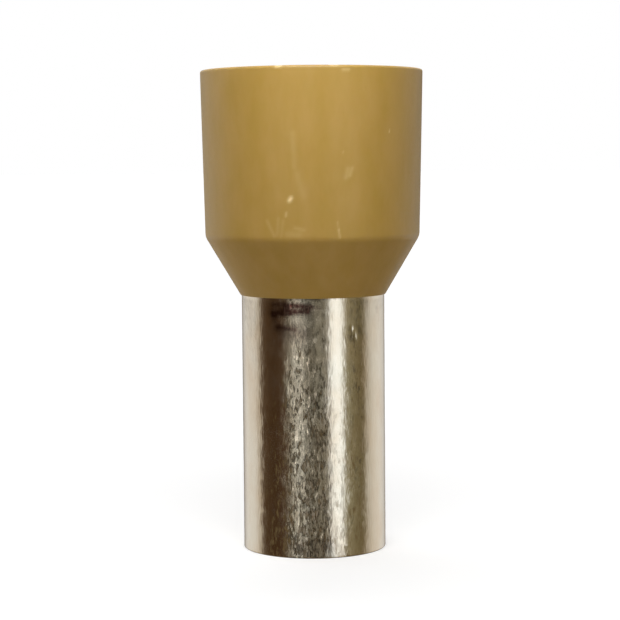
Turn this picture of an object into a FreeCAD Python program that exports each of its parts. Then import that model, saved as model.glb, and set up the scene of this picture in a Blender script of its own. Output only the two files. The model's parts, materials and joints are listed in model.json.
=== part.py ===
# Insulated wire ferrule for 35 mm2 stranded cable.
#
# A drawn copper sleeve is crimped on the bared strands. Its upper end opens as a bell mouth that
# sits in the funnel of a moulded plastic collar, and the cable's insulation goes into the collar's
# socket. The ferrule stands on the foot of its sleeve: the origin is the centre of the foot, +Z is
# the axis and the collar is at the top. All lengths are in millimetres.

import FreeCAD, Part

import math
import os
import Sketcher

# Driving dimensions: alias, value, meaning.
SIZES = (
    ("bore_dia", 8.4, "inside diameter of the sleeve"),
    ("sleeve_wall", 0.3, "wall of the sleeve"),
    ("sleeve_projection", 16.0, "straight length of sleeve below the collar"),
    ("sleeve_edge_radius", 0.06, "rounding of the sleeve's cut ends"),
    ("bend_radius", 3.0, "bend of the bell mouth, at the outer face of the sleeve"),
    ("funnel_angle", 30.6, "half angle of the funnel and the flare, degrees"),
    ("seat_gap", 0.02, "fit of the flare in the collar's seat"),
    ("collar_length", 14.0, "length of the collar"),
    ("insulation_room", 1.85, "step from the sleeve's outer face out to the socket wall"),
    ("funnel_land", 0.7, "width of the plastic funnel between the flare and the socket"),
    ("rim_wall", 0.6, "wall of the collar at its rim"),
    ("shoulder_wall", 0.375, "wall of the collar where the cone meets the barrel"),
    ("lip_thickness", 0.05, "edge of the collar where it ends on the sleeve"),
    ("shoulder_radius", 0.9, "rounding between cone and barrel"),
    ("blend_radius", 0.8, "rounding between funnel and socket"),
    ("mouth_radius", 0.25, "rounding of the rim's inner edge"),
    ("rim_radius", 0.15, "rounding of the rim's outer edge"),
)

# Shapes that both pieces take from the same dimensions, as expressions on the sheet.
SLEEVE_INNER = "Sizes.bore_dia / 2"
SLEEVE_OUTER = "Sizes.bore_dia / 2 + Sizes.sleeve_wall"
BEND_CENTRE = SLEEVE_OUTER + " + Sizes.bend_radius"
SOCKET_RADIUS = SLEEVE_OUTER + " + Sizes.insulation_room"
FUNNEL_EDGE = SOCKET_RADIUS + " - Sizes.funnel_land"
FLARE_ANGLE = "Sizes.funnel_angle * 1 deg"
RIM_RADIUS = SOCKET_RADIUS + " + Sizes.rim_wall"
SHOULDER_RADIUS = SOCKET_RADIUS + " + Sizes.shoulder_wall"
TOP = "Sizes.sleeve_projection + Sizes.collar_length"

# Points of a sketch edge as constraints number them, and the sketch's own origin.
START, END, CENTRE = range(1, 4)
ORIGIN = (-1, START)

# How near an edge must be to the radius and height it is looked up by.
EDGE_TOLERANCE = 1e-4


def add_sheet(doc):
    """Put the driving dimensions in a spreadsheet, one alias to a row."""
    sheet = doc.addObject("Spreadsheet::Sheet", "Sizes")
    for row, (alias, value, meaning) in enumerate(SIZES, start=1):
        sheet.set("A%d" % row, alias)
        sheet.set("B%d" % row, str(value))
        sheet.set("C%d" % row, meaning)
        sheet.setAlias("B%d" % row, alias)
    doc.recompute()
    return sheet


def add_body(doc, name):
    """One piece of the ferrule. Both are modelled where they lie, about the common axis."""
    body = doc.addObject("PartDesign::Body", name)
    body.Label = name
    body.Placement = FreeCAD.Placement()
    return body


def add_profile(body, name):
    """A sketch on the body's XZ plane: its X is the radius and its Y is the height."""
    plane = next(part for part in body.Origin.OriginFeatures if part.Role == "XZ_Plane")
    sketch = body.newObject("Sketcher::SketchObject", name)
    sketch.AttachmentSupport = [(plane, "")]
    sketch.MapMode = "FlatFace"
    return sketch


def add_line(sketch, start, end):
    return sketch.addGeometry(Part.LineSegment(start, end), False)


def add_bend(sketch, centre, radius, turn):
    """An arc that starts `turn` radians up from the level of its centre and ends at that level."""
    circle = Part.Circle(centre, FreeCAD.Vector(0, 0, 1), radius)
    return sketch.addGeometry(Part.ArcOfCircle(circle, math.pi - turn, math.pi), False)


def relate(sketch, kind, *places):
    sketch.addConstraint(Sketcher.Constraint(kind, *places))


def dimension(sketch, name, expression, kind, *places):
    """A driving dimension that is bound to the sheet."""
    value = sketch.evalExpression(expression)
    index = sketch.addConstraint(Sketcher.Constraint(kind, *places, value))
    sketch.renameConstraint(index, name)
    sketch.setExpression("Constraints." + name, expression)


def revolve(body, sketch, name):
    """Turn the profile once round the axis."""
    solid = body.newObject("PartDesign::Revolution", name)
    solid.Profile = sketch
    solid.ReferenceAxis = (sketch, ["V_Axis"])
    solid.Angle = 360
    body.Document.recompute()
    return solid


def ring_edge(shape, radius, height):
    """Name of the circular edge at this radius and height."""
    for index, edge in enumerate(shape.Edges, start=1):
        if not isinstance(edge.Curve, Part.Circle):
            continue
        if abs(edge.Curve.Radius - radius) > EDGE_TOLERANCE:
            continue
        if abs(edge.Curve.Center.z - height) < EDGE_TOLERANCE:
            return "Edge%d" % index
    raise RuntimeError("no ring at radius %.3f and height %.3f" % (radius, height))


def round_rings(body, base, name, expression, points):
    """Round the rings that these points of the profile turn into."""
    fillet = body.newObject("PartDesign::Fillet", name)
    fillet.Base = (base, [ring_edge(base.Shape, point.x, point.y) for point in points])
    fillet.setExpression("Radius", expression)
    body.Document.recompute()
    return fillet


def build_sleeve(doc, bell):
    """The drawn sleeve: a straight barrel, a bend and a conical flare, all of one wall."""
    body = add_body(doc, "crimp_sleeve")
    sketch = add_profile(body, "sleeve_profile")

    inner = sketch.evalExpression(SLEEVE_INNER)
    outer = sketch.evalExpression(SLEEVE_OUTER)
    foot_inner = FreeCAD.Vector(inner, 0, 0)
    foot_outer = FreeCAD.Vector(outer, 0, 0)
    top_inner = FreeCAD.Vector(inner, bell.level, 0)
    top_outer = FreeCAD.Vector(outer, bell.level, 0)
    low_inner = bell.centre + bell.across * (bell.radius + bell.wall)
    low_outer = bell.centre + bell.across * bell.radius
    tip_inner = bell.shelf - bell.along * bell.gap
    tip_outer = tip_inner - bell.across * bell.wall

    foot = add_line(sketch, foot_inner, foot_outer)
    outside = add_line(sketch, foot_outer, top_outer)
    outer_bend = add_bend(sketch, bell.centre, bell.radius, bell.angle)
    outer_flare = add_line(sketch, low_outer, tip_outer)
    tip = add_line(sketch, tip_outer, tip_inner)
    inner_flare = add_line(sketch, tip_inner, low_inner)
    inner_bend = add_bend(sketch, bell.centre, bell.radius + bell.wall, bell.angle)
    inside = add_line(sketch, top_inner, foot_inner)

    relate(sketch, "Coincident", foot, END, outside, START)
    relate(sketch, "Tangent", outside, END, outer_bend, END)
    relate(sketch, "Tangent", outer_bend, START, outer_flare, START)
    relate(sketch, "Coincident", outer_flare, END, tip, START)
    relate(sketch, "Coincident", tip, END, inner_flare, START)
    relate(sketch, "Tangent", inner_flare, END, inner_bend, START)
    relate(sketch, "Tangent", inner_bend, END, inside, START)
    relate(sketch, "Coincident", inside, END, foot, START)
    relate(sketch, "Coincident", inner_bend, CENTRE, outer_bend, CENTRE)
    relate(sketch, "Horizontal", foot)
    relate(sketch, "Vertical", outside)
    relate(sketch, "Vertical", inside)
    relate(sketch, "Perpendicular", tip, outer_flare)
    relate(sketch, "Parallel", inner_flare, outer_flare)
    relate(sketch, "PointOnObject", foot, START, -1)
    dimension(sketch, "inner", SLEEVE_INNER, "DistanceX", *ORIGIN, foot, START)
    dimension(sketch, "wall", "Sizes.sleeve_wall", "DistanceX", foot, START, foot, END)
    dimension(sketch, "projection", "Sizes.sleeve_projection", "DistanceY", outside, START, outside, END)
    dimension(sketch, "bend", "Sizes.bend_radius", "Radius", outer_bend)
    dimension(sketch, "flare", FLARE_ANGLE, "Angle", outer_flare, outside)
    dimension(sketch, "reach", FUNNEL_EDGE + " - Sizes.seat_gap * sin(Sizes.funnel_angle * 1 deg)",
              "DistanceX", *ORIGIN, tip, END)
    doc.recompute()

    turned = revolve(body, sketch, "drawn_sleeve")
    ends = (foot_inner, foot_outer, tip_inner, tip_outer)
    round_rings(body, turned, "cut_ends", "min(Sizes.sleeve_edge_radius; 0.4 * Sizes.sleeve_wall)", ends)
    return body


def build_collar(doc, bell):
    """The moulded collar: a cone that takes the flare, and a socket for the cable's insulation."""
    body = add_body(doc, "insulating_collar")
    sketch = add_profile(body, "collar_profile")
    size = sketch.evalExpression

    socket = size(SOCKET_RADIUS)
    top = size(TOP)
    lip_inner = FreeCAD.Vector(size(SLEEVE_OUTER) + bell.gap, bell.level, 0)
    lip_outer = lip_inner + FreeCAD.Vector(size("Sizes.lip_thickness"), 0, 0)
    seat_low = bell.centre + bell.across * (bell.radius - bell.gap)
    seat_high = bell.shelf - bell.across * (bell.wall + bell.gap)
    funnel_top = bell.shelf + bell.along * ((socket - bell.shelf.x) / bell.along.x)
    mouth = FreeCAD.Vector(socket, top, 0)
    rim = FreeCAD.Vector(size(RIM_RADIUS), top, 0)
    cone_run = size(SHOULDER_RADIUS) - lip_outer.x
    shoulder = lip_outer + bell.along * (cone_run / bell.along.x)

    lip = add_line(sketch, lip_outer, lip_inner)
    seat_bend = add_bend(sketch, bell.centre, bell.radius - bell.gap, bell.angle)
    seat = add_line(sketch, seat_low, seat_high)
    shelf = add_line(sketch, seat_high, bell.shelf)
    funnel = add_line(sketch, bell.shelf, funnel_top)
    socket_wall = add_line(sketch, funnel_top, mouth)
    rim_face = add_line(sketch, mouth, rim)
    barrel = add_line(sketch, rim, shoulder)
    cone = add_line(sketch, shoulder, lip_outer)

    relate(sketch, "Coincident", lip, END, seat_bend, END)
    relate(sketch, "Tangent", seat_bend, START, seat, START)
    relate(sketch, "Coincident", seat, END, shelf, START)
    relate(sketch, "Coincident", shelf, END, funnel, START)
    relate(sketch, "Coincident", funnel, END, socket_wall, START)
    relate(sketch, "Coincident", socket_wall, END, rim_face, START)
    relate(sketch, "Coincident", rim_face, END, barrel, START)
    relate(sketch, "Coincident", barrel, END, cone, START)
    relate(sketch, "Coincident", cone, END, lip, START)
    relate(sketch, "Horizontal", lip)
    relate(sketch, "Horizontal", seat_bend, CENTRE, seat_bend, END)
    relate(sketch, "Perpendicular", shelf, seat)
    relate(sketch, "Parallel", funnel, seat)
    relate(sketch, "Parallel", cone, seat)
    relate(sketch, "Vertical", socket_wall)
    relate(sketch, "Horizontal", rim_face)
    dimension(sketch, "bend_centre", BEND_CENTRE, "DistanceX", *ORIGIN, seat_bend, CENTRE)
    dimension(sketch, "level", "Sizes.sleeve_projection", "DistanceY", *ORIGIN, seat_bend, CENTRE)
    dimension(sketch, "bend", "Sizes.bend_radius - Sizes.seat_gap", "Radius", seat_bend)
    dimension(sketch, "flare", FLARE_ANGLE, "Angle", seat, socket_wall)
    dimension(sketch, "shelf_step", "Sizes.sleeve_wall + Sizes.seat_gap", "Distance", shelf)
    dimension(sketch, "funnel_edge", FUNNEL_EDGE, "DistanceX", *ORIGIN, shelf, END)
    dimension(sketch, "socket", SOCKET_RADIUS, "DistanceX", *ORIGIN, socket_wall, END)
    dimension(sketch, "top", TOP, "DistanceY", *ORIGIN, rim_face, END)
    dimension(sketch, "rim", "Sizes.rim_wall", "DistanceX", rim_face, START, rim_face, END)
    dimension(sketch, "shoulder", SHOULDER_RADIUS, "DistanceX", *ORIGIN, barrel, END)
    dimension(sketch, "lip", "Sizes.lip_thickness", "DistanceX", lip, END, lip, START)
    doc.recompute()

    turned = revolve(body, sketch, "moulded_collar")
    shouldered = round_rings(body, turned, "shoulder_rounding", "Sizes.shoulder_radius", (shoulder,))
    blended = round_rings(body, shouldered, "funnel_blend", "Sizes.blend_radius", (funnel_top,))
    mouthed = round_rings(body, blended, "mouth_rounding",
                          "min(Sizes.mouth_radius; 0.5 * Sizes.rim_wall)", (mouth,))
    round_rings(body, mouthed, "rim_rounding", "min(Sizes.rim_radius; 0.3 * Sizes.rim_wall)", (rim,))
    return body


class Bell:
    """Where the bell mouth lies in the profile plane, worked out once for both pieces."""

    def __init__(self, sheet):
        self.angle = math.radians(sheet.funnel_angle)
        self.along = FreeCAD.Vector(math.sin(self.angle), math.cos(self.angle), 0)
        self.across = FreeCAD.Vector(-math.cos(self.angle), math.sin(self.angle), 0)
        self.radius = sheet.bend_radius
        self.wall = sheet.sleeve_wall
        self.gap = sheet.seat_gap
        self.level = sheet.sleeve_projection
        self.centre = FreeCAD.Vector(sheet.evalExpression(BEND_CENTRE), self.level, 0)
        inner_start = self.centre + self.across * (self.radius + self.wall)
        run = sheet.evalExpression(FUNNEL_EDGE) - inner_start.x
        self.shelf = inner_start + self.along * (run / self.along.x)


def check(doc, bodies):
    """Stop if a feature failed or a piece is not one valid solid."""
    for part in doc.Objects:
        if "Invalid" in part.State or "Error" in part.State:
            raise RuntimeError("%s failed: %s" % (part.Name, part.State))
    for body in bodies:
        shape = body.Shape
        if shape.isNull() or not shape.isValid() or len(shape.Solids) != 1:
            raise RuntimeError("%s is not one valid solid" % body.Label)


def main():
    doc = FreeCAD.newDocument("wire_ferrule")
    sheet = add_sheet(doc)
    bell = Bell(sheet)
    bodies = (build_sleeve(doc, bell), build_collar(doc, bell))
    doc.recompute()
    check(doc, bodies)
    os.makedirs("parts", exist_ok=True)
    for body in bodies:
        body.Shape.exportStep("parts/%s.step" % body.Label)
        print("%s: %.3f mm3" % (body.Label, body.Shape.Volume))


main()
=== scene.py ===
# Looks of an insulated wire ferrule: a moulded collar, a drawn and tinned sleeve, and a studio.
# Lengths are in metres, and the small ones are written as millimetres times MM. The ferrule stands
# on z = 0 and its axis is Z. An azimuth is measured from the front, which is -Y, towards +X.

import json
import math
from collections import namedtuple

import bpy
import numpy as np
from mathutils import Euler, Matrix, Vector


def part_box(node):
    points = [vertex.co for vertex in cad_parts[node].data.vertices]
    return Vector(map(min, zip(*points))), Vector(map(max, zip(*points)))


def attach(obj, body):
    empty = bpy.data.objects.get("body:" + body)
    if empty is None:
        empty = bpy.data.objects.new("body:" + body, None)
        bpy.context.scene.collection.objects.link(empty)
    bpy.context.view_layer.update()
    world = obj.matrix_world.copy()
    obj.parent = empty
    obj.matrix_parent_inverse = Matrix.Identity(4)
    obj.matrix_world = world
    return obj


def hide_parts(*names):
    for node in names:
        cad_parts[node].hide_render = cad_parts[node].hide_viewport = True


bl_info = {
    "name": "Wire Ferrule",
    "version": (1, 0, 0),
    "blender": (4, 5, 0),
    "location": "3D View > Sidebar > Ferrule",
    "description": "Builds the collar, the sleeve and the studio of an insulated wire ferrule",
    "category": "Add Mesh",
}

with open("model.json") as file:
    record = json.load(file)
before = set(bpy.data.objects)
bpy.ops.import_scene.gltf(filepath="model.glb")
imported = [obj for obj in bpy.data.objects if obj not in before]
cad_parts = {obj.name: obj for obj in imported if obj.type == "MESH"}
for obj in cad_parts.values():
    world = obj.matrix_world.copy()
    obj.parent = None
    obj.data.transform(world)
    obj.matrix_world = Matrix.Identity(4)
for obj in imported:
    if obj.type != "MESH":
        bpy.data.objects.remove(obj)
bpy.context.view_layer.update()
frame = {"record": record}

MM = 0.001
# Corners of the CAD nodes' boxes.
COLLAR_LOW, COLLAR_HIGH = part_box("insulating_collar")
SLEEVE_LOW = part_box("crimp_sleeve")[0]

# Points to a full turn of each piece, and the spacing of its rings where its relief shows and
# elsewhere.
TURN_POINTS = 480
FINE_STEP = 0.12 * MM
COARSE_STEP = 0.6 * MM
# Largest turn from one point of a rounding to the next, and the fewest steps that a rounding has.
ARC_STEP = math.radians(15)
LEAST_ARC_STEPS = 3
# Edges that turn by more than this stay sharp.
SHARP_TURN = math.radians(40)

# Middle of the near lamp's light on the floor, and the distance at which 37 percent is left.
LIT_CENTRE = (0.0, -12 * MM, 0.0)
LIT_REACH = 40 * MM


def mount_radius(name):
    """Radius of one of the frame's round mounts."""
    for mount in frame["record"]["mounts"]:
        if mount["name"] == name:
            return mount["dims"]["r_mm"] * MM
    raise RuntimeError("the frame has no mount named " + name)


# The way round each piece, which its relief has to close on.
COLLAR_GIRTH = 2 * math.pi * COLLAR_HIGH.x
TUBE_GIRTH = 2 * math.pi * mount_radius("crimp_sleeve_outside")


def from_hex(code):
    """An sRGB hex colour as the linear RGBA that Blender works in."""
    channels = [int(code[place:place + 2], 16) / 255 for place in (1, 3, 5)]
    linear = [c / 12.92 if c <= 0.04045 else ((c + 0.055) / 1.055) ** 2.4 for c in channels]
    return (*linear, 1.0)


# Geometry

# A corner of an outline, its rounding, and the spacing of the points from there to the next one.
Corner = namedtuple("Corner", "radius height rounding step")


def rounded_outline(corners):
    """Points of a closed outline round the corners, counterclockwise, each with its own rounding."""
    places = [Vector((corner.radius, corner.height)) for corner in corners]
    arcs = []
    for index, (here, corner) in enumerate(zip(places, corners)):
        back = (places[index - 1] - here).normalized()
        ahead = (places[(index + 1) % len(places)] - here).normalized()
        half = back.angle(ahead) / 2
        rounding = corner.rounding
        if not rounding:
            arcs.append([here])
            continue
        start = here + back * rounding / math.tan(half)
        centre = here + (back + ahead).normalized() * rounding / math.sin(half)
        spoke = start - centre
        turn = math.copysign(math.pi - 2 * half, -back.cross(ahead))
        by_length = math.ceil(abs(turn) * rounding / corner.step)
        count = max(LEAST_ARC_STEPS, math.ceil(abs(turn) / ARC_STEP), by_length)
        arcs.append([centre + turned(spoke, turn * n / count) for n in range(count + 1)])
    points = []
    for index, (arc, corner) in enumerate(zip(arcs, corners)):
        goal = arcs[(index + 1) % len(arcs)][0]
        run = goal - arc[-1]
        count = math.ceil(run.length / corner.step)
        points.extend(arc)
        points.extend(arc[-1] + run * n / count for n in range(1, count))
    return np.array([tuple(point) for point in points])


def turned(spoke, angle):
    """The 2D vector turned counterclockwise."""
    cosine, sine = math.cos(angle), math.sin(angle)
    return Vector((spoke.x * cosine - spoke.y * sine, spoke.x * sine + spoke.y * cosine))


def patchy(azimuth, height, girth, width, length, seed):
    """Smooth random relief from -1 to 1, its bumps about width across and length along the axis."""
    columns = round(girth / width)
    # Rows of the lattice reach past the top, so that the foot and the top never blend.
    rows = math.ceil(COLLAR_HIGH.z / length) + 2
    lattice = np.random.default_rng(seed).uniform(-1, 1, (rows, columns))
    across = azimuth / (2 * math.pi) * columns
    along = height / length
    column = np.floor(across).astype(int)
    row = np.floor(along).astype(int)
    blend = [part * part * (3 - 2 * part) for part in (across - column, along - row)]
    left, right = column % columns, (column + 1) % columns
    low, high = row % rows, (row + 1) % rows
    lower = lattice[low, left] * (1 - blend[0]) + lattice[low, right] * blend[0]
    upper = lattice[high, left] * (1 - blend[0]) + lattice[high, right] * blend[0]
    return lower * (1 - blend[1]) + upper * blend[1]


def graded(place, levels):
    """The level at a place, blended between the levels given by place."""
    return np.interp(place, list(levels), list(levels.values()))


def signed_turn(angle):
    """The same angle between half a turn back and half a turn on."""
    return (angle + math.pi) % (2 * math.pi) - math.pi


def nearness(azimuth, height, radius, mark):
    """1 on a mark and 0 away from it, measured on the unrolled surface."""
    across = signed_turn(azimuth - math.radians(mark.azimuth)) * radius
    up = height - mark.height
    run = signed_turn(math.radians(mark.end_azimuth - mark.azimuth)) * radius
    climb = mark.end_height - mark.height
    part = np.clip((across * run + up * climb) / (run ** 2 + climb ** 2), 0, 1)
    away = np.hypot(across - part * run, up - part * climb)
    return np.exp(-(away / mark.width) ** 2)


def marked(azimuth, height, radius, outward, marks):
    """Sum of what the marks do to the outside, each by its strength."""
    total = sum(nearness(azimuth, height, radius, mark) * mark.strength for mark in marks)
    return total * (outward > 0)


def lathe(name, outline, relief, **layers):
    """Turn the outline once round Z and return the piece.

    relief moves the surface outwards, and the layers are functions of the same kind, kept on the
    mesh under their names for the finish.
    """
    step = np.roll(outline, -1, axis=0) - np.roll(outline, 1, axis=0)
    normal = np.stack([step[:, 1], -step[:, 0]], axis=1)
    normal /= np.linalg.norm(normal, axis=1)[:, None]
    rings = len(outline)
    azimuth = np.tile(np.arange(TURN_POINTS) * 2 * math.pi / TURN_POINTS, (rings, 1))
    radius = np.repeat(outline[:, :1], TURN_POINTS, axis=1)
    height = np.repeat(outline[:, 1:], TURN_POINTS, axis=1)
    outward = np.repeat(normal[:, :1], TURN_POINTS, axis=1)
    upward = np.repeat(normal[:, 1:], TURN_POINTS, axis=1)
    push = relief(azimuth, height, radius, outward)
    around = radius + push * outward
    places = np.stack([around * np.sin(azimuth), -around * np.cos(azimuth), height + push * upward], axis=2)

    ring, turn = np.meshgrid(np.arange(rings), np.arange(TURN_POINTS), indexing="ij")
    next_ring, next_turn = (ring + 1) % rings, (turn + 1) % TURN_POINTS
    corners = ((ring, turn), (ring, next_turn), (next_ring, next_turn), (next_ring, turn))
    faces = np.stack([a * TURN_POINTS + b for a, b in corners], axis=2)

    mesh = bpy.data.meshes.new(name)
    mesh.from_pydata(places.reshape(-1, 3).tolist(), [], faces.reshape(-1, 4).tolist())
    mesh.shade_smooth()
    mesh.set_sharp_from_angle(angle=SHARP_TURN)
    for layer_name, worked_out in layers.items():
        layer = mesh.attributes.new(layer_name, "FLOAT", "POINT")
        values = worked_out(azimuth, height, radius, outward)
        layer.data.foreach_set("value", values.ravel().astype(np.float32))
    piece = bpy.data.objects.new(name, mesh)
    bpy.context.scene.collection.objects.link(piece)
    return piece


# Materials

def add_node(tree, kind, values=None, links=None, **settings):
    """Add a node, set its properties and its inputs' values, and link its other inputs."""
    node = tree.nodes.new(kind)
    for name, value in settings.items():
        setattr(node, name, value)
    for name, value in (values or {}).items():
        node.inputs[name].default_value = value
    for name, source in (links or {}).items():
        tree.links.new(source, node.inputs[name])
    return node


def new_material(name):
    """An empty material and its node tree."""
    material = bpy.data.materials.new(name)
    material.use_nodes = True
    material.node_tree.nodes.clear()
    return material, material.node_tree


def stretched(tree, width, length):
    """Object coordinates in which one unit is width across the axis and length along it."""
    place = add_node(tree, "ShaderNodeTexCoord").outputs["Object"]
    scale = (1 / width, 1 / width, 1 / length)
    return add_node(tree, "ShaderNodeMapping", {"Scale": scale}, {"Vector": place}).outputs["Vector"]


def drawn_tinned_copper(settings):
    """Copper tube, drawn to size and plated with tin.

    Tin gives a warm silvery white that dulls in soft clouds. Drawing leaves fine streaks along the
    tube, which tear the edges of each reflection. Handling leaves pits that scatter it in flecks,
    and a brown stain next to the collar. The foot is painted darker as shade, along its front and
    round its cut edge. Drawing lines are about 0.03 mm apart, the tin's grains 0.02 mm wide and the
    pits 0.05 mm. All are drawn some four times coarser, so that they show.
    """
    material, tree = new_material("drawn_tinned_copper")
    streak_depth = 0.005 * MM
    # How far grains and pits tip the surface, across the axis and along it.
    facet_tilt = (0.045, 0.045, 0.16)
    streaks = add_node(tree, "ShaderNodeTexNoise", {"Scale": 1.0, "Detail": 1.0, "Roughness": 0.5},
                       {"Vector": stretched(tree, 0.13 * MM, 0.50 * MM)})
    grains = add_node(tree, "ShaderNodeTexVoronoi", {"Scale": 1.0},
                      {"Vector": stretched(tree, 0.085 * MM, 0.27 * MM)})
    pits = add_node(tree, "ShaderNodeTexVoronoi", {"Scale": 1.0},
                    {"Vector": stretched(tree, 0.19 * MM, 0.55 * MM)})
    dull = add_node(tree, "ShaderNodeTexNoise", {"Scale": 1.0, "Detail": 3.0, "Roughness": 0.7},
                    {"Vector": stretched(tree, 0.5 * MM, 1.0 * MM)})
    bloom = add_node(tree, "ShaderNodeTexNoise", {"Scale": 1.0, "Detail": 3.0},
                     {"Vector": stretched(tree, 1.4 * MM, 2.6 * MM)})
    rub = add_node(tree, "ShaderNodeTexNoise", {"Scale": 1.0, "Detail": 2.0, "Roughness": 0.6},
                   {"Vector": stretched(tree, 0.09 * MM, 0.13 * MM)})
    stained = add_node(tree, "ShaderNodeAttribute", attribute_name="stain").outputs["Fac"]
    pitting = add_node(tree, "ShaderNodeAttribute", attribute_name="pitting").outputs["Fac"]

    # Tin that has dulled in places, under a stain that rubbing has thinned in specks, and painted shade at
    # the foot
    tint = add_node(tree, "ShaderNodeMapRange", {"From Min": 0.35, "From Max": 0.65},
                    {"Value": bloom.outputs["Fac"]})
    skin = add_node(tree, "ShaderNodeMix",
                    {"A": settings.tin_colour, "B": settings.bloom_colour},
                    {"Factor": tint.outputs["Result"]}, data_type="RGBA")
    kept = add_node(tree, "ShaderNodeMapRange",
                    {"From Min": 0.36, "From Max": 0.64, "To Min": 0.84, "To Max": 1.08},
                    {"Value": rub.outputs["Fac"]})
    thinned_stain_and_shade = add_node(tree, "ShaderNodeMath", links={0: stained, 1: kept.outputs["Result"]},
                       operation="MULTIPLY")
    colour = add_node(tree, "ShaderNodeMix", {"B": settings.stain_colour},
                      {"A": skin.outputs[2], "Factor": thinned_stain_and_shade.outputs[0]}, data_type="RGBA")
    gloss = add_node(tree, "ShaderNodeMapRange",
                     {"From Min": 0.3, "From Max": 0.7, "To Min": 0.15, "To Max": 0.22},
                     {"Value": dull.outputs["Fac"]})

    # Each grain and pit leans its own way, most where the tube is pitted
    leans = [add_node(tree, "ShaderNodeVectorMath", {1: (-0.5, -0.5, -0.5)},
                      {0: cells.outputs["Color"]}, operation="ADD").outputs[0]
             for cells in (grains, pits)]
    both = add_node(tree, "ShaderNodeVectorMath", links=dict(enumerate(leans)), operation="ADD")
    slope = add_node(tree, "ShaderNodeVectorMath", {1: facet_tilt}, {0: both.outputs[0]},
                     operation="MULTIPLY")
    tilt = add_node(tree, "ShaderNodeVectorMath", links={0: slope.outputs[0], "Scale": pitting},
                    operation="SCALE")
    face = add_node(tree, "ShaderNodeNewGeometry").outputs["Normal"]
    tipped = add_node(tree, "ShaderNodeVectorMath", links={0: face, 1: tilt.outputs[0]},
                      operation="ADD")
    drawn = add_node(tree, "ShaderNodeBump", {"Strength": 1.0, "Distance": streak_depth},
                     {"Height": streaks.outputs["Fac"], "Normal": tipped.outputs[0]})

    shader = add_node(tree, "ShaderNodeBsdfPrincipled", {"Metallic": 1.0},
                      {"Base Color": colour.outputs[2], "Roughness": gloss.outputs["Result"],
                       "Normal": drawn.outputs["Normal"]})
    add_node(tree, "ShaderNodeOutputMaterial", links={"Surface": shader.outputs["BSDF"]})
    return material


def moulded_polypropylene(settings):
    """Polypropylene with an ochre pigment, injection moulded.

    The resin is slightly cloudy, so light spreads under its skin, and the skin is half matt. Flow
    in the mould leaves faint upright streaks, and handling leaves pale scuffs. The nicks in the rim
    are painted pale too, as painted glints. The mould's grain is about 0.03 mm and is drawn some
    four times coarser, so that it shows.
    """
    material, tree = new_material("moulded_polypropylene")
    grain_depth = 0.002 * MM
    flow = add_node(tree, "ShaderNodeTexNoise", {"Scale": 1.0, "Detail": 3.0, "Roughness": 0.55},
                    {"Vector": stretched(tree, 1.1 * MM, 2.8 * MM)})
    grain = add_node(tree, "ShaderNodeTexNoise", {"Scale": 1.0, "Detail": 3.0, "Roughness": 0.6},
                     {"Vector": stretched(tree, 0.12 * MM, 0.2 * MM)})
    scuffing = add_node(tree, "ShaderNodeAttribute", attribute_name="scuffing").outputs["Fac"]
    clouds = add_node(tree, "ShaderNodeMapRange", {"From Min": 0.3, "From Max": 0.7},
                      {"Value": flow.outputs["Fac"]})
    body = add_node(tree, "ShaderNodeMix",
                    {"A": settings.resin_colour, "B": settings.flow_colour},
                    {"Factor": clouds.outputs["Result"]}, data_type="RGBA")
    with_scuffs_and_glints = add_node(tree, "ShaderNodeMix", {"B": settings.scuff_and_glint_colour},
                       {"A": body.outputs[2], "Factor": scuffing}, data_type="RGBA")
    gloss = add_node(tree, "ShaderNodeMapRange",
                     {"From Min": 0.3, "From Max": 0.7, "To Min": 0.36, "To Max": 0.48},
                     {"Value": grain.outputs["Fac"]})
    textured = add_node(tree, "ShaderNodeBump", {"Strength": 1.0, "Distance": grain_depth},
                        {"Height": grain.outputs["Fac"]})
    shader = add_node(tree, "ShaderNodeBsdfPrincipled",
                      {"IOR": 1.49, "Subsurface Weight": 0.15, "Subsurface Scale": 0.4 * MM,
                       "Subsurface Radius": (1.0, 0.6, 0.25)},
                      {"Base Color": with_scuffs_and_glints.outputs[2], "Roughness": gloss.outputs["Result"],
                       "Normal": textured.outputs["Normal"]})
    add_node(tree, "ShaderNodeOutputMaterial", links={"Surface": shader.outputs["BSDF"]})
    return material


def seen_directly(tree):
    """1 for rays that show the background: from the camera, and off or through the object."""
    path = add_node(tree, "ShaderNodeLightPath").outputs
    either = add_node(tree, "ShaderNodeMath", links={0: path["Is Camera Ray"], 1: path["Is Glossy Ray"]},
                      operation="MAXIMUM")
    any_of = add_node(tree, "ShaderNodeMath", links={0: either.outputs[0], 1: path["Is Transmission Ray"]},
                      operation="MAXIMUM")
    return any_of.outputs[0]


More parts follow.
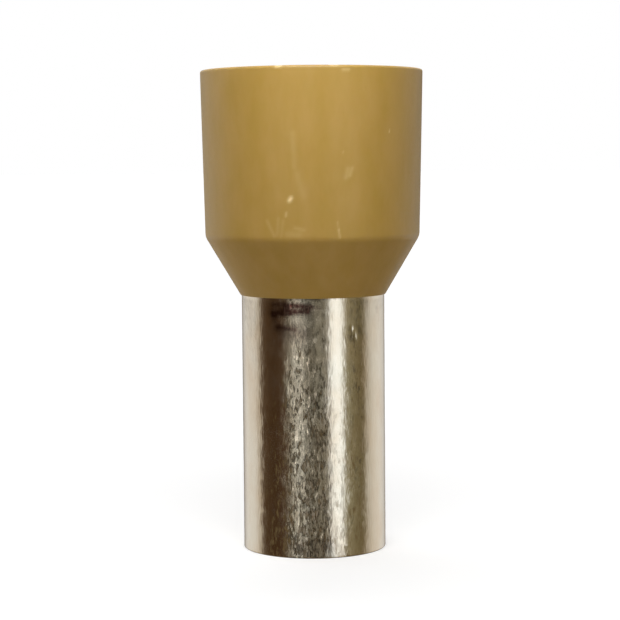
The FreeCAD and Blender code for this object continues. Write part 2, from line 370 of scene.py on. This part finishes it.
def floor_paper(settings):
    """Pale matt paper. It keeps the shadow, and rays that see it directly find it near white.

    The lamp stands close, so the paper is darker further out, and the lift grows there to match.
    """
    material, tree = new_material("floor_paper")
    seen = seen_directly(tree)
    tone = add_node(tree, "ShaderNodeMix", {"A": settings.bounce_colour, "B": settings.floor_colour},
                    {"Factor": seen}, data_type="RGBA")
    paper = add_node(tree, "ShaderNodeBsdfDiffuse", links={"Color": tone.outputs[2]})
    place = add_node(tree, "ShaderNodeTexCoord").outputs["Object"]
    reach = add_node(tree, "ShaderNodeVectorMath", {1: LIT_CENTRE}, {0: place}, operation="DISTANCE")
    depth = add_node(tree, "ShaderNodeMath", {1: -1 / LIT_REACH}, {0: reach.outputs["Value"]},
                     operation="MULTIPLY")
    lit = add_node(tree, "ShaderNodeMath", links={0: depth.outputs[0]}, operation="EXPONENT")
    lift = add_node(tree, "ShaderNodeMapRange",
                    {"To Min": settings.far_lift, "To Max": settings.near_lift},
                    {"Value": lit.outputs[0]})
    shown = add_node(tree, "ShaderNodeMath",
                     links={0: seen, 1: lift.outputs["Result"]}, operation="MULTIPLY")
    glow = add_node(tree, "ShaderNodeEmission", links={"Strength": shown.outputs[0]})
    both = add_node(tree, "ShaderNodeAddShader", links={0: paper.outputs[0], 1: glow.outputs[0]})
    add_node(tree, "ShaderNodeOutputMaterial", links={"Surface": both.outputs[0]})
    return material


def card_cloth():
    """The cards round the set, as bright as the mesh's own colour says."""
    material, tree = new_material("card_cloth")
    colour = add_node(tree, "ShaderNodeAttribute", attribute_name="glow").outputs["Color"]
    glow = add_node(tree, "ShaderNodeEmission", {"Strength": 1.0}, {"Color": colour})
    add_node(tree, "ShaderNodeOutputMaterial", links={"Surface": glow.outputs[0]})
    return material


# Settings

class FERRULE_PG_sleeve(bpy.types.PropertyGroup):
    """Sizes and finish of the drawn sleeve."""

    bore_radius: bpy.props.FloatProperty(
        name="Bore radius", description="Inside radius of the tube",
        default=mount_radius("wire_bore"), unit="LENGTH", subtype="DISTANCE", precision=5)
    outer_radius: bpy.props.FloatProperty(
        name="Outside radius", description="Outside radius of the tube",
        default=mount_radius("crimp_sleeve_outside"), unit="LENGTH", subtype="DISTANCE", precision=5)
    bend_radius: bpy.props.FloatProperty(
        name="Bend radius", description="Bend of the bell mouth at the tube's outer face",
        default=3.0 * MM, unit="LENGTH", subtype="DISTANCE", precision=5)
    flare_angle: bpy.props.FloatProperty(
        name="Flare angle", description="Half angle of the flare and of the collar's funnel",
        default=math.radians(30.6), subtype="ANGLE")
    funnel_land: bpy.props.FloatProperty(
        name="Funnel land", description="Width of plastic funnel between the flare and the socket",
        default=0.7 * MM, unit="LENGTH", subtype="DISTANCE", precision=5)
    seat_gap: bpy.props.FloatProperty(
        name="Seat gap", description="Fit of the flare in the collar's seat",
        default=0.02 * MM, unit="LENGTH", subtype="DISTANCE", precision=6)
    edge_rounding: bpy.props.FloatProperty(
        name="Edge rounding", description="Rounding of the tube's cut ends",
        default=0.06 * MM, unit="LENGTH", subtype="DISTANCE", precision=6)
    tin_colour: bpy.props.FloatVectorProperty(
        name="Tin", description="Clean tin plating", size=4, subtype="COLOR",
        default=from_hex("#CFC5B3"))
    bloom_colour: bpy.props.FloatVectorProperty(
        name="Bloom", description="Plating that has dulled with age", size=4, subtype="COLOR",
        default=from_hex("#CBBCA6"))
    # Also the colour of the painted shade at the foot.
    stain_colour: bpy.props.FloatVectorProperty(
        name="Stain", description="Brown stain beside the collar", size=4, subtype="COLOR",
        default=from_hex("#543730"))


class FERRULE_PG_collar(bpy.types.PropertyGroup):
    """Sizes and finish of the moulded collar."""

    socket_radius: bpy.props.FloatProperty(
        name="Socket radius", description="Inside radius of the socket for the insulation",
        default=mount_radius("insulation_socket"), unit="LENGTH", subtype="DISTANCE", precision=5)
    rim_wall: bpy.props.FloatProperty(
        name="Rim wall", description="Wall at the rim",
        default=0.6 * MM, unit="LENGTH", subtype="DISTANCE", precision=5)
    shoulder_wall: bpy.props.FloatProperty(
        name="Shoulder wall", description="Wall where the cone meets the barrel",
        default=0.375 * MM, unit="LENGTH", subtype="DISTANCE", precision=5)
    lip: bpy.props.FloatProperty(
        name="Lip", description="Edge of the cone where it ends on the sleeve",
        default=0.05 * MM, unit="LENGTH", subtype="DISTANCE", precision=6)
    shoulder_rounding: bpy.props.FloatProperty(
        name="Shoulder rounding", description="Rounding between cone and barrel",
        default=0.9 * MM, unit="LENGTH", subtype="DISTANCE", precision=5)
    blend_rounding: bpy.props.FloatProperty(
        name="Funnel blend", description="Rounding between funnel and socket",
        default=0.8 * MM, unit="LENGTH", subtype="DISTANCE", precision=5)
    mouth_rounding: bpy.props.FloatProperty(
        name="Mouth rounding", description="Rounding of the rim's inner edge",
        default=0.25 * MM, unit="LENGTH", subtype="DISTANCE", precision=5)
    rim_rounding: bpy.props.FloatProperty(
        name="Rim rounding", description="Rounding of the rim's outer edge",
        default=0.15 * MM, unit="LENGTH", subtype="DISTANCE", precision=5)
    resin_colour: bpy.props.FloatVectorProperty(
        name="Resin", description="Pigmented resin", size=4, subtype="COLOR",
        default=from_hex("#AB8A3B"))
    flow_colour: bpy.props.FloatVectorProperty(
        name="Flow", description="Paler streaks where the resin flowed", size=4, subtype="COLOR",
        default=from_hex("#B29048"))
    # Also the colour of the painted glints at the nicks in the rim.
    scuff_and_glint_colour: bpy.props.FloatVectorProperty(
        name="Scuffs", description="Pale scuffed plastic", size=4, subtype="COLOR",
        default=from_hex("#F0D69C"))


class FERRULE_PG_stage(bpy.types.PropertyGroup):
    """Floor, room, lamp and camera."""

    floor_colour: bpy.props.FloatVectorProperty(
        name="Floor", description="Paper under the ferrule", size=4, subtype="COLOR",
        default=from_hex("#CACACA"))
    bounce_colour: bpy.props.FloatVectorProperty(
        name="Bounce", description="Colour of the light that the paper throws back up", size=4,
        subtype="COLOR", default=from_hex("#D0C6BC"))
    near_lift: bpy.props.FloatProperty(
        name="Near lift", description="How much lighter the paper looks than it is lit, at the part",
        default=0.415, min=0.0)
    far_lift: bpy.props.FloatProperty(
        name="Far lift", description="How much lighter the paper looks than it is lit, far out",
        default=0.725, min=0.0)
    front_fill: bpy.props.FloatProperty(
        name="Front fill", description="Strength of the light from the dim room in front",
        default=0.20, min=0.0)
    back_fill: bpy.props.FloatProperty(
        name="Back fill", description="Strength of the light from the white backdrop",
        default=1.75, min=0.0)
    key: bpy.props.FloatProperty(
        name="Key", description="Power of the lamp above the front, in watts",
        default=0.0203, min=0.0)
    focal_length: bpy.props.FloatProperty(
        name="Focal length", description="Lens of the camera, in millimetres", default=111.6)


# Marks

# A mark is a short stroke between two places, by azimuth in degrees and height. Its strength is a
# depth where it is pressed in, and a share from 0 to 1 where it darkens the tin, as a stain beside
# the collar and as painted shade at the foot.
Mark = namedtuple("Mark", "azimuth height end_azimuth end_height width strength")

# Nicks in the rim: dents, painted pale as glints.
RIM_NICKS_AND_GLINTS = (
    Mark(-17.6, 29.96 * MM, -15.4, 29.96 * MM, 0.10 * MM, 0.013 * MM),
    Mark(9.2, 29.98 * MM, 13.0, 29.98 * MM, 0.06 * MM, 0.008 * MM),
    Mark(15.6, 29.71 * MM, 18.7, 29.70 * MM, 0.08 * MM, 0.007 * MM),
)
SCUFFS = (
    Mark(-11.6, 22.02 * MM, -10.9, 22.15 * MM, 0.12 * MM, 0.020 * MM),
    Mark(-13.6, 21.10 * MM, -13.4, 21.26 * MM, 0.08 * MM, 0.006 * MM),
    Mark(42.7, 26.08 * MM, 42.9, 26.12 * MM, 0.05 * MM, 0.012 * MM),
    Mark(17.2, 23.35 * MM, 18.3, 23.85 * MM, 0.15 * MM, 0.0032 * MM),
    Mark(19.3, 23.45 * MM, 20.5, 23.90 * MM, 0.11 * MM, 0.0036 * MM),
    Mark(15.4, 24.80 * MM, 15.6, 24.84 * MM, 0.05 * MM, 0.004 * MM),
    Mark(-9.6, 26.00 * MM, -9.1, 24.00 * MM, 0.17 * MM, 0.0016 * MM),
    Mark(-7.8, 23.60 * MM, -4.6, 22.30 * MM, 0.20 * MM, 0.0013 * MM),
    Mark(-23.7, 20.79 * MM, -20.0, 19.90 * MM, 0.10 * MM, 0.0024 * MM),
    Mark(-17.5, 20.95 * MM, -18.4, 19.95 * MM, 0.10 * MM, 0.0018 * MM),
    Mark(-15.1, 20.80 * MM, -16.3, 19.85 * MM, 0.10 * MM, 0.0016 * MM),
    Mark(-8.9, 20.38 * MM, -4.4, 20.26 * MM, 0.10 * MM, 0.0024 * MM),
    Mark(-13.0, 20.00 * MM, -7.0, 19.95 * MM, 0.22 * MM, 0.0018 * MM),
    Mark(12.7, 20.71 * MM, 13.4, 20.20 * MM, 0.06 * MM, 0.003 * MM),
    Mark(13.3, 20.25 * MM, 14.0, 19.80 * MM, 0.07 * MM, 0.006 * MM),
)
SLEEVE_DENTS = (
    Mark(31.4, 14.16 * MM, 32.0, 13.62 * MM, 0.10 * MM, 0.034 * MM),
    Mark(34.3, 13.88 * MM, 35.0, 13.44 * MM, 0.10 * MM, 0.034 * MM),
    Mark(-17.6, 15.74 * MM, -17.4, 15.50 * MM, 0.08 * MM, 0.016 * MM),
    Mark(-13.4, 12.95 * MM, -12.4, 12.50 * MM, 0.13 * MM, 0.022 * MM),
    Mark(-10.9, 12.45 * MM, -10.4, 12.05 * MM, 0.13 * MM, 0.020 * MM),
    Mark(-11.5, 11.45 * MM, -11.2, 11.25 * MM, 0.12 * MM, 0.018 * MM),
    Mark(-7.6, 3.55 * MM, -7.2, 3.30 * MM, 0.14 * MM, 0.026 * MM),
    Mark(-9.2, 2.62 * MM, -8.4, 2.38 * MM, 0.15 * MM, 0.028 * MM),
    Mark(-19.6, 2.40 * MM, -18.9, 2.14 * MM, 0.13 * MM, 0.024 * MM),
    Mark(-8.0, 1.48 * MM, -7.4, 1.36 * MM, 0.15 * MM, 0.028 * MM),
    Mark(-1.6, 1.42 * MM, -0.8, 1.66 * MM, 0.13 * MM, 0.024 * MM),
    Mark(4.6, 1.42 * MM, 5.6, 1.68 * MM, 0.13 * MM, 0.024 * MM),
    Mark(-1.3, 2.44 * MM, -0.7, 2.30 * MM, 0.13 * MM, 0.022 * MM),
    Mark(-16.2, 0.30 * MM, -11.0, 0.22 * MM, 0.10 * MM, 0.016 * MM),
)
STAINS_AND_FOOT_SHADE = (
    Mark(-33.0, 15.62 * MM, -23.0, 15.66 * MM, 0.16 * MM, 0.45),
    Mark(-20.0, 15.60 * MM, -3.0, 15.54 * MM, 0.17 * MM, 0.70),
    Mark(-1.0, 15.48 * MM, 6.0, 15.42 * MM, 0.10 * MM, 0.45),
    Mark(-33.0, 15.02 * MM, -20.0, 15.16 * MM, 0.23 * MM, 0.58),
    Mark(-24.0, 15.14 * MM, -4.0, 15.20 * MM, 0.17 * MM, 0.65),
    Mark(-35.0, 15.38 * MM, -24.0, 15.36 * MM, 0.45 * MM, 0.30),
    Mark(-20.0, 15.36 * MM, -4.0, 15.34 * MM, 0.50 * MM, 0.42),
    Mark(-32.5, 15.00 * MM, -30.5, 14.20 * MM, 0.30 * MM, 0.40),
    Mark(-28.0, 14.24 * MM, -15.0, 14.16 * MM, 0.20 * MM, 0.52),
    Mark(-22.0, 13.90 * MM, -9.0, 13.80 * MM, 0.60 * MM, 0.48),
    # Painted shade along the front of the foot, not a stain.
    Mark(-14.0, 0.70 * MM, 10.0, 0.70 * MM, 0.60 * MM, 0.26),
)


# Operators

class FERRULE_OT_sleeve(bpy.types.Operator):
    """Build the drawn and tinned sleeve"""

    bl_idname = "ferrule.add_sleeve"
    bl_label = "Add Sleeve"

    wave_depth = 0.0035 * MM
    dimple_depth = 0.0080 * MM
    # The whole relief lies this much inward, so that no bump stands past the tube's size.
    relief_room = 0.0117 * MM
    # How rough handling has left the outside, from 0 to 1: at the front and elsewhere by azimuth in
    # degrees, and by height in millimetres. No part of the finish is smoother than least_rough.
    front_rough = {-60: 0, -46: 0.4, -28: 1, 6: 1, 12: 0.3, 24: 0.3, 30: 0.9, 40: 0.9, 50: 0}
    elsewhere_rough = {-80: 0.25, -60: 0, 60: 0, 80: 0.25}
    rough_by_height = {0.8: 0.7, 1.6: 1, 6.0: 1, 10.0: 0.85, 14.2: 0.45}
    least_rough = 0.2
    # A patch elsewhere is fully rough where its noise, from -1 to 1, reaches this.
    full_patch = 0.5
    # The cut edge at the foot is painted darker all round: painted shade under the tube.
    cut_edge_height = 0.05 * MM
    cut_edge_stain = 0.4

    def execute(self, context):
        size = context.scene.ferrule_sleeve
        angle = size.flare_angle
        reach = context.scene.ferrule_collar.socket_radius - size.funnel_land
        tip = reach - size.seat_gap * math.sin(angle)
        wall = size.outer_radius - size.bore_radius
        corner_rise = math.tan(angle / 2)
        outer_corner = COLLAR_LOW.z + size.bend_radius * corner_rise
        inner_corner = COLLAR_LOW.z + (size.bend_radius + wall) * corner_rise
        inner_tip = inner_corner + (tip - size.bore_radius) / math.tan(angle)
        outer_tip = inner_tip - wall * math.sin(angle)
        outline = rounded_outline((
            Corner(size.bore_radius, SLEEVE_LOW.z, size.edge_rounding, FINE_STEP),
            Corner(size.outer_radius, SLEEVE_LOW.z, size.edge_rounding, FINE_STEP),
            Corner(size.outer_radius, outer_corner, size.bend_radius, COARSE_STEP),
            Corner(tip + wall * math.cos(angle), outer_tip, size.edge_rounding, COARSE_STEP),
            Corner(tip, inner_tip, size.edge_rounding, COARSE_STEP),
            Corner(size.bore_radius, inner_corner, size.bend_radius + wall, COARSE_STEP),
        ))
        piece = lathe("tinned_sleeve", outline, self.relief, stain=self.stain, pitting=self.pitting)
        piece.data.materials.append(drawn_tinned_copper(size))
        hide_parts("crimp_sleeve")
        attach(piece, "root")
        return {"FINISHED"}

    def relief(self, azimuth, height, radius, outward):
        """Waves, dimples and dents of the straight tube, all inward of its size."""
        waves = patchy(azimuth, height, TUBE_GIRTH, width=1.1 * MM, length=2.4 * MM, seed=11)
        dimples = patchy(azimuth, height, TUBE_GIRTH, width=0.50 * MM, length=0.38 * MM, seed=12)
        dimples = dimples * self.dimple_depth * self.pitting(azimuth, height, radius, outward)
        on_tube = np.abs(outward) * (height < COLLAR_LOW.z)
        dents = marked(azimuth, height, radius, outward, SLEEVE_DENTS)
        return (waves * self.wave_depth + dimples - self.relief_room) * on_tube - dents

    def pitting(self, azimuth, height, radius, outward):
        """How rough handling has left the outside: most at the front, and in patches elsewhere."""
        patches = patchy(azimuth, height, TUBE_GIRTH, width=2.6 * MM, length=7.0 * MM, seed=15)
        turn = np.degrees(signed_turn(azimuth))
        front = graded(turn, self.front_rough)
        elsewhere = graded(turn, self.elsewhere_rough) * np.clip(patches / self.full_patch, 0, 1)
        rough = np.maximum(front, elsewhere) * graded(height / MM, self.rough_by_height)
        return self.least_rough + (1 - self.least_rough) * rough * (outward > 0)

    def stain(self, azimuth, height, radius, outward):
        """The brown stain beside the collar, and painted shade at the foot: a band at the front and the cut
        edge.
        """
        cut = (height < self.cut_edge_height) * self.cut_edge_stain
        return np.clip(marked(azimuth, height, radius, outward, STAINS_AND_FOOT_SHADE), 0, 1) + cut


class FERRULE_OT_collar(bpy.types.Operator):
    """Build the moulded collar"""

    bl_idname = "ferrule.add_collar"
    bl_label = "Add Collar"

    sink_depth = 0.005 * MM
    flow_depth = 0.0012 * MM
    # The whole relief lies this much inward, so that no bump stands past the collar's size.
    relief_room = 0.0062 * MM
    # A face that leans outward by this share or more has the whole relief, and the rim's top none.
    full_lean = 0.25
    # A mark this deep is fully pale: scuffed plastic, and at the nicks in the rim a painted glint.
    pale_depth = 0.02 * MM

    def execute(self, context):
        size = context.scene.ferrule_collar
        sleeve = context.scene.ferrule_sleeve
        angle = sleeve.flare_angle
        wall = sleeve.outer_radius - sleeve.bore_radius
        hole = sleeve.outer_radius + sleeve.seat_gap
        lip = hole + size.lip
        shoulder = size.socket_radius + size.shoulder_wall
        shoulder_height = COLLAR_LOW.z + (shoulder - lip) / math.tan(angle)
        edge = size.socket_radius - sleeve.funnel_land
        bore_corner = COLLAR_LOW.z + (sleeve.bend_radius + wall) * math.tan(angle / 2)
        edge_height = bore_corner + (edge - sleeve.bore_radius) / math.tan(angle)
        funnel_top = edge_height + sleeve.funnel_land / math.tan(angle)
        step = wall + sleeve.seat_gap
        seat_bend = sleeve.bend_radius - sleeve.seat_gap
        seat_corner = COLLAR_LOW.z + seat_bend * math.tan(angle / 2)
        outline = rounded_outline((
            Corner(hole, COLLAR_LOW.z, 0.0, FINE_STEP),
            Corner(lip, COLLAR_LOW.z, 0.0, FINE_STEP),
            Corner(shoulder, shoulder_height, size.shoulder_rounding, FINE_STEP),
            Corner(size.socket_radius + size.rim_wall, COLLAR_HIGH.z, size.rim_rounding, FINE_STEP),
            Corner(size.socket_radius, COLLAR_HIGH.z, size.mouth_rounding, COARSE_STEP),
            Corner(size.socket_radius, funnel_top, size.blend_rounding, COARSE_STEP),
            Corner(edge, edge_height, 0.0, FINE_STEP),
            Corner(edge + step * math.cos(angle), edge_height - step * math.sin(angle), 0.0, COARSE_STEP),
            Corner(hole, seat_corner, seat_bend, COARSE_STEP),
        ))
        piece = lathe("moulded_collar", outline, self.relief, scuffing=self.scuffing)
        piece.data.materials.append(moulded_polypropylene(size))
        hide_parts("insulating_collar")
        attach(piece, "root")
        return {"FINISHED"}

    def relief(self, azimuth, height, radius, outward):
        """Sink and flow marks of the moulding, nicks in the rim and dents under the scuffs."""
        sink = patchy(azimuth, height, COLLAR_GIRTH, width=3.5 * MM, length=4.0 * MM, seed=21)
        flow = patchy(azimuth, height, COLLAR_GIRTH, width=0.6 * MM, length=2.5 * MM, seed=22)
        skin = sink * self.sink_depth + flow * self.flow_depth - self.relief_room
        dents = marked(azimuth, height, radius, outward, RIM_NICKS_AND_GLINTS + SCUFFS)
        return skin * np.clip(outward / self.full_lean, 0, 1) - dents

    def scuffing(self, azimuth, height, radius, outward):
        """Pale plastic at the scuffs, and painted glints at the nicks in the rim."""
        depth = marked(azimuth, height, radius, outward, RIM_NICKS_AND_GLINTS + SCUFFS)
        return np.clip(depth / self.pale_depth, 0, 1)


class FERRULE_OT_stage(bpy.types.Operator):
    """Build the floor, the cards, the room, the lamp and the camera"""

    bl_idname = "ferrule.add_stage"
    bl_label = "Add Stage"

    # The ring of cards and fabric round the set, which only reflections show: azimuth in degrees,
    # colour and strength. What lies between two stops blends from one to the other. Reflections
    # don't see the floor, so the ring goes on below it.
    surround = (
        (-150, "#FFFFFF", 0.75),
        (-140, "#FFFFFF", 1.00),
        (-110, "#FFFFFF", 1.00),
        (-98, "#D8CFC2", 1.00),
        (-91, "#5A4632", 1.00),
        (-68, "#46331F", 1.00),
        (-50, "#4E3A28", 1.00),
        (-38, "#A5A298", 1.20),
        (-25, "#D5D8D6", 1.50),
        (-9, "#8A8A82", 1.25),
        (14, "#76746A", 1.45),
        (23, "#9A968C", 1.05),
        (28.5, "#EEF6FF", 1.88),
        (45.5, "#EEF6FF", 1.88),
        (51, "#A09A80", 1.20),
        (82, "#7A7052", 1.00),
        (88, "#9A9078", 1.00),
        (95.5, "#DCD8D0", 1.00),
        (112, "#FAF9F6", 1.02),
        (130, "#FFFFFF", 1.04),
        (150, "#FFFFFF", 0.84),
        (166, "#8C857A", 1.00),
        (194, "#8C857A", 1.00),
        (210, "#FFFFFF", 0.75),
    )
    # Patches of the ring: first and last azimuth, lowest and highest place, and how many times as
    # bright they are.
    patches = (
        # Painted shade of the collar on the front of the tube, just below it: this patch and the next.
        (-48, 3, -18 * MM, 14 * MM, 0.24),
        (4, 28, -17 * MM, -10 * MM, 0.75),
        (-52, -6, -27 * MM, -19 * MM, 2.30),
        (24, 38, -24 * MM, -12 * MM, 0.86),
        (24, 48, -47 * MM, -38 * MM, 1.20),
        (-92, -46, -30 * MM, -25 * MM, 1.45),
        (-92, -46, -56 * MM, -50 * MM, 1.25),
        (50, 94, -38 * MM, -33 * MM, 1.30),
        (-48, 28, -36 * MM, -32 * MM, 0.60),
        (-20, 28, -50 * MM, -46 * MM, 0.60),
        # Painted shade at the foot of the tube: this patch and the next.
        (-48, 28, -90 * MM, -54 * MM, 0.05),
        (24, 58, -90 * MM, -58 * MM, 0.68),
        (50, 94, -24 * MM, -20 * MM, 0.70),
        (50, 94, -52 * MM, -46 * MM, 0.75),
        # Painted shade of the collar on the left of the tube's top.
        (-152, -94, -9 * MM, 2 * MM, 0.76),
        (-195, -105, 2 * MM, 90 * MM, 0.70),
        (52, 112, 4 * MM, 90 * MM, 0.50),
        (112, 195, 2 * MM, 90 * MM, 0.50),
    )
    # A softbox high in front, most of it left, and a weak card low in front, as the ring is given.
    softbox = (
        (-46, "#FFFFFF", 2.6),
        (-2, "#FFFFFF", 2.6),
        (8, "#FFFFFF", 0.6),
        (22, "#FFFFFF", 0.6),
    )
    low_card = (
        (-38, "#FFFFFF", 0.4),
        (14, "#FFFFFF", 0.4),
    )
    # The boards under the ring, and the table top that closes it below, as the ring is given.
    skirt = (
        (-180, "#A89E8A", 1.00),
        (-112, "#CCC2AC", 1.00),
        (-91, "#75674C", 1.00),
        (24, "#75674C", 1.00),
        (32, "#C8C0B0", 1.00),
        (45, "#C8C0B0", 1.00),
        (54, "#75674C", 1.00),
        (88, "#75674C", 1.00),
        (105, "#7C6E52", 1.00),
        (180, "#A89E8A", 1.00),
    )
    table = (
        (-180, "#BDB7AB", 1.00),
        (-112, "#D2CCC0", 1.00),
        (-91, "#6E6454", 1.00),
        (-45, "#6E6454", 1.00),
        (-20, "#7A7266", 1.00),
        (22, "#70685A", 1.00),
        (32, "#9C9688", 1.00),
        (45, "#9C9688", 1.00),
        (56, "#6E6454", 1.00),
        (88, "#6E6454", 1.00),
        (105, "#9A9078", 1.00),
        (180, "#BDB7AB", 1.00),
    )
    # Edges of the bands, as (radius, height) in metres.
    ring_foot = (0.3, -0.09)
    ring_head = (0.3, 0.08)
    skirt_foot = (0.3, -0.2)
    table_middle = (0.01, -0.2)
    softbox_foot = (0.29, 0.056)
    softbox_head = (0.29, 0.08)
    low_card_foot = (0.29, -0.14)
    low_card_head = (0.29, -0.11)
    # Spacing of a band's points along it in degrees, and across it.
    band_step = 2.0
    level_step = 2 * MM
    # How far a patch takes to fade: in degrees inward from its sides, and out past its top and foot.
    side_fade = 5
    level_fade = 3 * MM
    floor_radius = 4.0
    floor_corners = 48
    # The way to the bright backdrop, which stands behind, a little left. Where the cosine between a
    # direction and this way is under backdrop_starts, the room is dim, and over backdrop_full it
    # is fully bright.
    backdrop_way = (-0.36, 0.933, 0.0)
    backdrop_starts = 0.2
    backdrop_full = 0.7
    # The lamp: its place, what it points at, and its width.
    key_place = (0, -30 * MM, 56 * MM)
    key_aim = (0, 0, 24 * MM)
    key_size = 36 * MM
    # The view of the photograph: place, and degrees below level and of roll.
    camera_place = (-0.1974 * MM, -120.873 * MM, 24.331 * MM)
    camera_down = 4.4277
    camera_roll = -0.4732
    # Width of the sensor in millimetres, and the nearest that the camera sees.
    sensor_width = 36.0
    clip_start = 5 * MM

    def execute(self, context):
        settings = context.scene.ferrule_stage
        self.add_floor(settings)
        self.add_band("surround", self.surround, self.ring_foot, self.ring_head, self.patches)
        self.add_band("skirt", self.skirt, self.skirt_foot, self.ring_foot)
        self.add_band("table", self.table, self.table_middle, self.skirt_foot)
        self.add_band("softbox", self.softbox, self.softbox_foot, self.softbox_head)
        self.add_band("low_card", self.low_card, self.low_card_foot, self.low_card_head)
        self.add_world(settings)
        self.add_key(settings)
        self.add_camera(settings)
        return {"FINISHED"}

    def add_floor(self, settings):
        """Pale paper, wide enough to reach the horizon."""
        corners = [(self.floor_radius * math.cos(turn), self.floor_radius * math.sin(turn), 0)
                   for turn in np.linspace(0, 2 * math.pi, self.floor_corners, endpoint=False)]
        mesh = bpy.data.meshes.new("floor")
        mesh.from_pydata(corners, [], [range(len(corners))])
        mesh.materials.append(floor_paper(settings))
        floor = bpy.data.objects.new("floor", mesh)
        floor.visible_glossy = False
        bpy.context.scene.collection.objects.link(floor)

    def add_band(self, name, stops, foot, head, patches=()):
        """A band of cards between two level circles of (radius, height). Its colour changes along it.

        Only reflections show it.
        """
        columns = round((stops[-1][0] - stops[0][0]) / self.band_step) + 1
        rows = round(math.dist(foot, head) / self.level_step) + 1
        degrees = np.linspace(stops[0][0], stops[-1][0], columns)
        circles = np.linspace(foot, head, rows)
        glows = np.array([from_hex(colour) for _, colour, _ in stops])
        glows *= np.array([[strength] for _, _, strength in stops])
        places_of_stops = [place for place, _, _ in stops]
        colours = np.stack([np.interp(degrees, places_of_stops, glow) for glow in glows.T], axis=1)
        share = np.ones((rows, columns))
        for first, last, bottom, top, part in patches:
            across = np.interp(degrees, (first, first + self.side_fade, last - self.side_fade, last),
                               (0, 1, 1, 0))
            up = np.interp(circles[:, 1], (bottom - self.level_fade, bottom, top, top + self.level_fade),
                           (0, 1, 1, 0))
            share *= 1 - (1 - part) * np.outer(up, across)
        turns = np.radians(degrees)
        places = [(radius * math.sin(turn), -radius * math.cos(turn), level)
                  for radius, level in circles for turn in turns]
        faces = [(corner, corner + 1, corner + 1 + columns, corner + columns)
                 for row in range(rows - 1)
                 for corner in range(row * columns, (row + 1) * columns - 1)]
        mesh = bpy.data.meshes.new(name)
        mesh.from_pydata(places, [], faces)
        layer = mesh.attributes.new("glow", "FLOAT_COLOR", "POINT")
        layer.data.foreach_set("color", (share[:, :, None] * colours[None]).ravel().astype(np.float32))
        mesh.materials.append(card_cloth())
        card = bpy.data.objects.new(name, mesh)
        card.visible_camera = False
        card.visible_diffuse = False
        card.visible_shadow = False
        card.visible_transmission = False
        bpy.context.scene.collection.objects.link(card)

    def add_world(self, settings):
        """A dim room in front and a bright backdrop behind, most of it left; seen directly it is white."""
        world = bpy.data.worlds.new("studio")
        world.use_nodes = True
        tree = world.node_tree
        tree.nodes.clear()
        way = add_node(tree, "ShaderNodeTexCoord").outputs["Generated"]
        depth = add_node(tree, "ShaderNodeVectorMath", {1: self.backdrop_way}, {0: way},
                         operation="DOT_PRODUCT")
        fill = add_node(tree, "ShaderNodeMapRange",
                        {"From Min": self.backdrop_starts, "From Max": self.backdrop_full,
                         "To Min": settings.front_fill, "To Max": settings.back_fill},
                        {"Value": depth.outputs["Value"]})
        level = add_node(tree, "ShaderNodeMix", {"B": 1.0},
                         {"A": fill.outputs["Result"], "Factor": seen_directly(tree)})
        white = add_node(tree, "ShaderNodeBackground", {"Color": (1.0, 1.0, 1.0, 1.0)},
                         {"Strength": level.outputs[0]})
        add_node(tree, "ShaderNodeOutputWorld", links={"Surface": white.outputs[0]})
        bpy.context.scene.world = world

    def add_key(self, settings):
        """A soft lamp above the front, near enough that the light falls off down the collar."""
        lamp = bpy.data.lights.new("key", "AREA")
        lamp.shape = "DISK"
        lamp.size = self.key_size
        lamp.energy = settings.key
        key = bpy.data.objects.new("key", lamp)
        key.location = self.key_place
        aim = Vector(self.key_aim) - key.location
        key.rotation_euler = aim.to_track_quat("-Z", "Y").to_euler()
        bpy.context.scene.collection.objects.link(key)

    def add_camera(self, settings):
        """The photograph's view: a long lens a little above the middle, looking slightly down."""
        lens = bpy.data.cameras.new("camera")
        lens.lens = settings.focal_length
        lens.sensor_width = self.sensor_width
        lens.clip_start = self.clip_start
        camera = bpy.data.objects.new("camera", lens)
        camera.location = self.camera_place
        down = math.radians(90 - self.camera_down)
        roll = math.radians(self.camera_roll)
        facing = Euler((down, 0, 0)).to_matrix() @ Euler((0, 0, roll)).to_matrix()
        camera.rotation_euler = facing.to_euler()
        bpy.context.scene.collection.objects.link(camera)
        bpy.context.scene.camera = camera


class FERRULE_PT_panel(bpy.types.Panel):
    """Sizes, colours and build buttons of the ferrule"""

    bl_idname = "FERRULE_PT_panel"
    bl_label = "Wire Ferrule"
    bl_space_type = "VIEW_3D"
    bl_region_type = "UI"
    bl_category = "Ferrule"

    def draw(self, context):
        for settings, operator in (
            (context.scene.ferrule_sleeve, FERRULE_OT_sleeve),
            (context.scene.ferrule_collar, FERRULE_OT_collar),
            (context.scene.ferrule_stage, FERRULE_OT_stage),
        ):
            box = self.layout.box()
            for name in settings.__annotations__:
                box.prop(settings, name)
            box.operator(operator.bl_idname)


CLASSES = (
    FERRULE_PG_sleeve,
    FERRULE_PG_collar,
    FERRULE_PG_stage,
    FERRULE_OT_sleeve,
    FERRULE_OT_collar,
    FERRULE_OT_stage,
    FERRULE_PT_panel,
)


def register():
    """Add the classes to Blender, and the settings to its scenes."""
    for cls in CLASSES:
        bpy.utils.register_class(cls)
    bpy.types.Scene.ferrule_sleeve = bpy.props.PointerProperty(type=FERRULE_PG_sleeve)
    bpy.types.Scene.ferrule_collar = bpy.props.PointerProperty(type=FERRULE_PG_collar)
    bpy.types.Scene.ferrule_stage = bpy.props.PointerProperty(type=FERRULE_PG_stage)


def unregister():
    """Take the settings and the classes out again."""
    del bpy.types.Scene.ferrule_stage
    del bpy.types.Scene.ferrule_collar
    del bpy.types.Scene.ferrule_sleeve
    for cls in reversed(CLASSES):
        bpy.utils.unregister_class(cls)


def main():
    """Build the ferrule and its stage."""
    register()
    bpy.context.scene.view_settings.view_transform = "Standard"
    bpy.ops.ferrule.add_sleeve()
    bpy.ops.ferrule.add_collar()
    bpy.ops.ferrule.add_stage()


if __name__ == "__main__":
    main()
